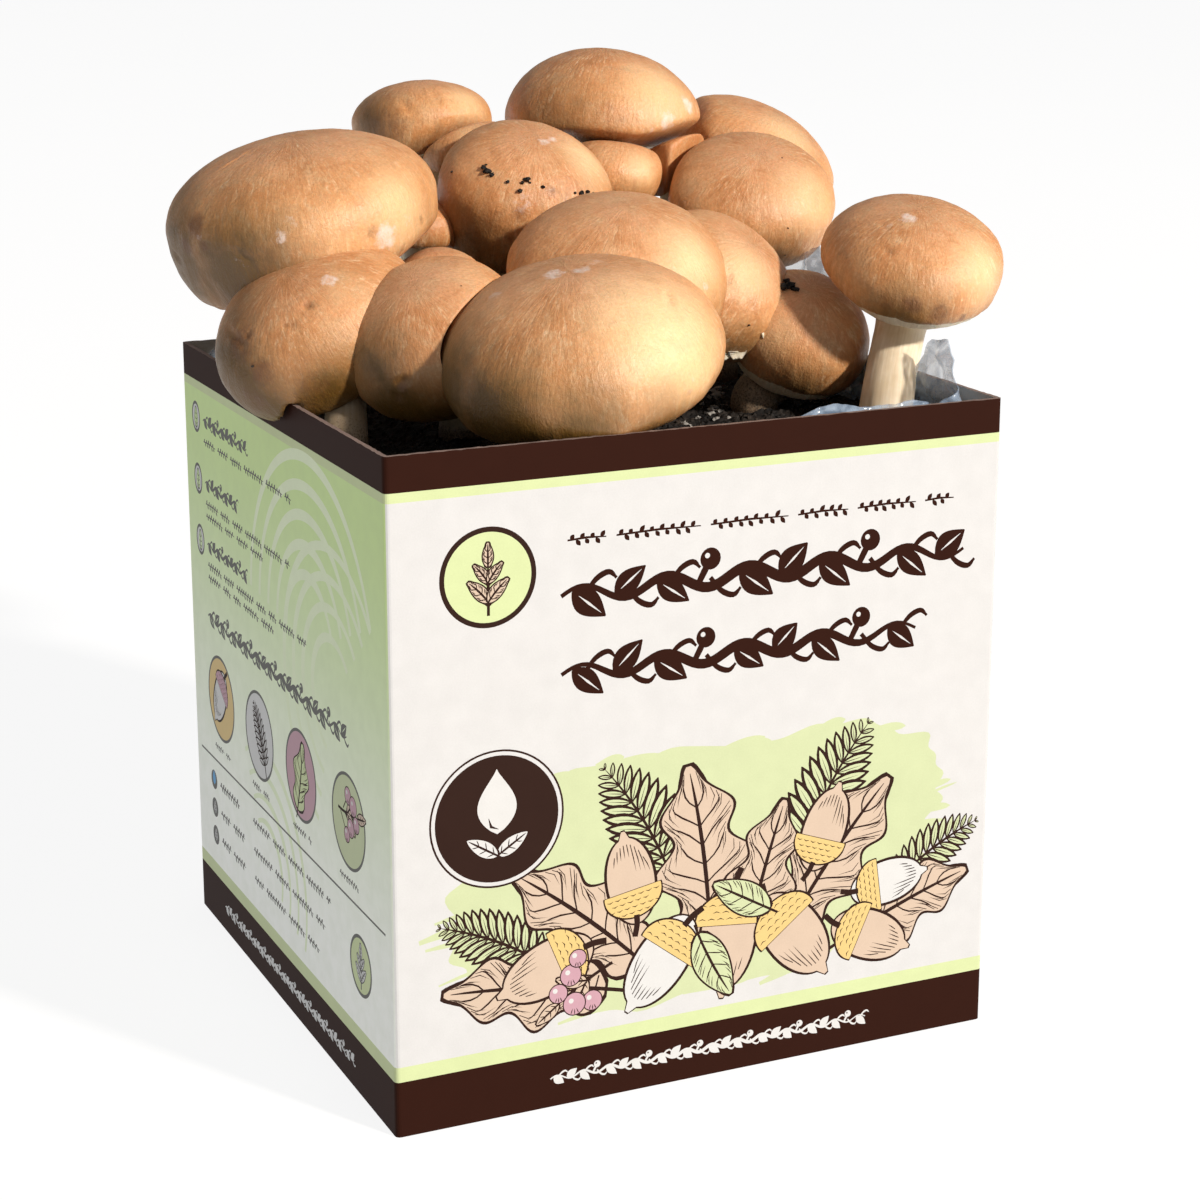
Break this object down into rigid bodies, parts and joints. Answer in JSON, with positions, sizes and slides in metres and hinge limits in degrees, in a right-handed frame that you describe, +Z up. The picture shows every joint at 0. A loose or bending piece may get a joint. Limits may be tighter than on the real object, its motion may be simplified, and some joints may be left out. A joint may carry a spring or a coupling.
{
  "type": "mushroom grow kit",
  "caption": "Open printed carton filled with bagged casing soil, from which a crowded cluster of brown-capped chestnut mushrooms grows above the torn rim.",
  "frame": {"origin": "middle of the carton's base, on the face it stands on", "axes": "+Z up, -Y towards the carton's large printed front, +X to the right when facing that front"},
  "size_m": [0.2544, 0.2224, 0.2931],
  "materials": {
    "printed_board": "thin cardboard, printed and lightly coated, satin",
    "clear_film": "thin clear polythene film, crumpled",
    "casing_soil": "moist dark peat, crumbly and matt",
    "cap_skin": "dry mushroom skin, tan brown, soft satin",
    "stem_flesh": "mushroom stem flesh, pale cream, matt"
  },
  "bodies": {
    "root": {"carton": "printed_board", "bag": "clear_film", "soil": "casing_soil", "cap_left_large": "cap_skin", "cap_left_front": "cap_skin", "cap_front_left": "cap_skin", "cap_front_large": "cap_skin", "cap_middle_large": "cap_skin", "cap_middle_right": "cap_skin", "cap_low_right": "cap_skin", "cap_right": "cap_skin", "cap_right_back": "cap_skin", "cap_far_right": "cap_skin", "cap_top_large": "cap_skin", "cap_back_left": "cap_skin", "cap_centre": "cap_skin", "cap_small_back": "cap_skin", "cap_small_middle": "cap_skin", "cap_behind_left": "cap_skin", "cap_behind_right": "cap_skin", "cap_small_left": "cap_skin", "stem_left_large": "stem_flesh", "stem_left_front": "stem_flesh", "stem_front_left": "stem_flesh", "stem_front_large": "stem_flesh", "stem_middle_large": "stem_flesh", "stem_middle_right": "stem_flesh", "stem_low_right": "stem_flesh", "stem_right": "stem_flesh", "stem_right_back": "stem_flesh", "stem_far_right": "stem_flesh", "stem_top_large": "stem_flesh", "stem_back_left": "stem_flesh", "stem_centre": "stem_flesh", "stem_small_back": "stem_flesh", "stem_small_middle": "stem_flesh", "stem_behind_left": "stem_flesh", "stem_behind_right": "stem_flesh", "stem_small_left": "stem_flesh"}
  },
  "joints": []
}
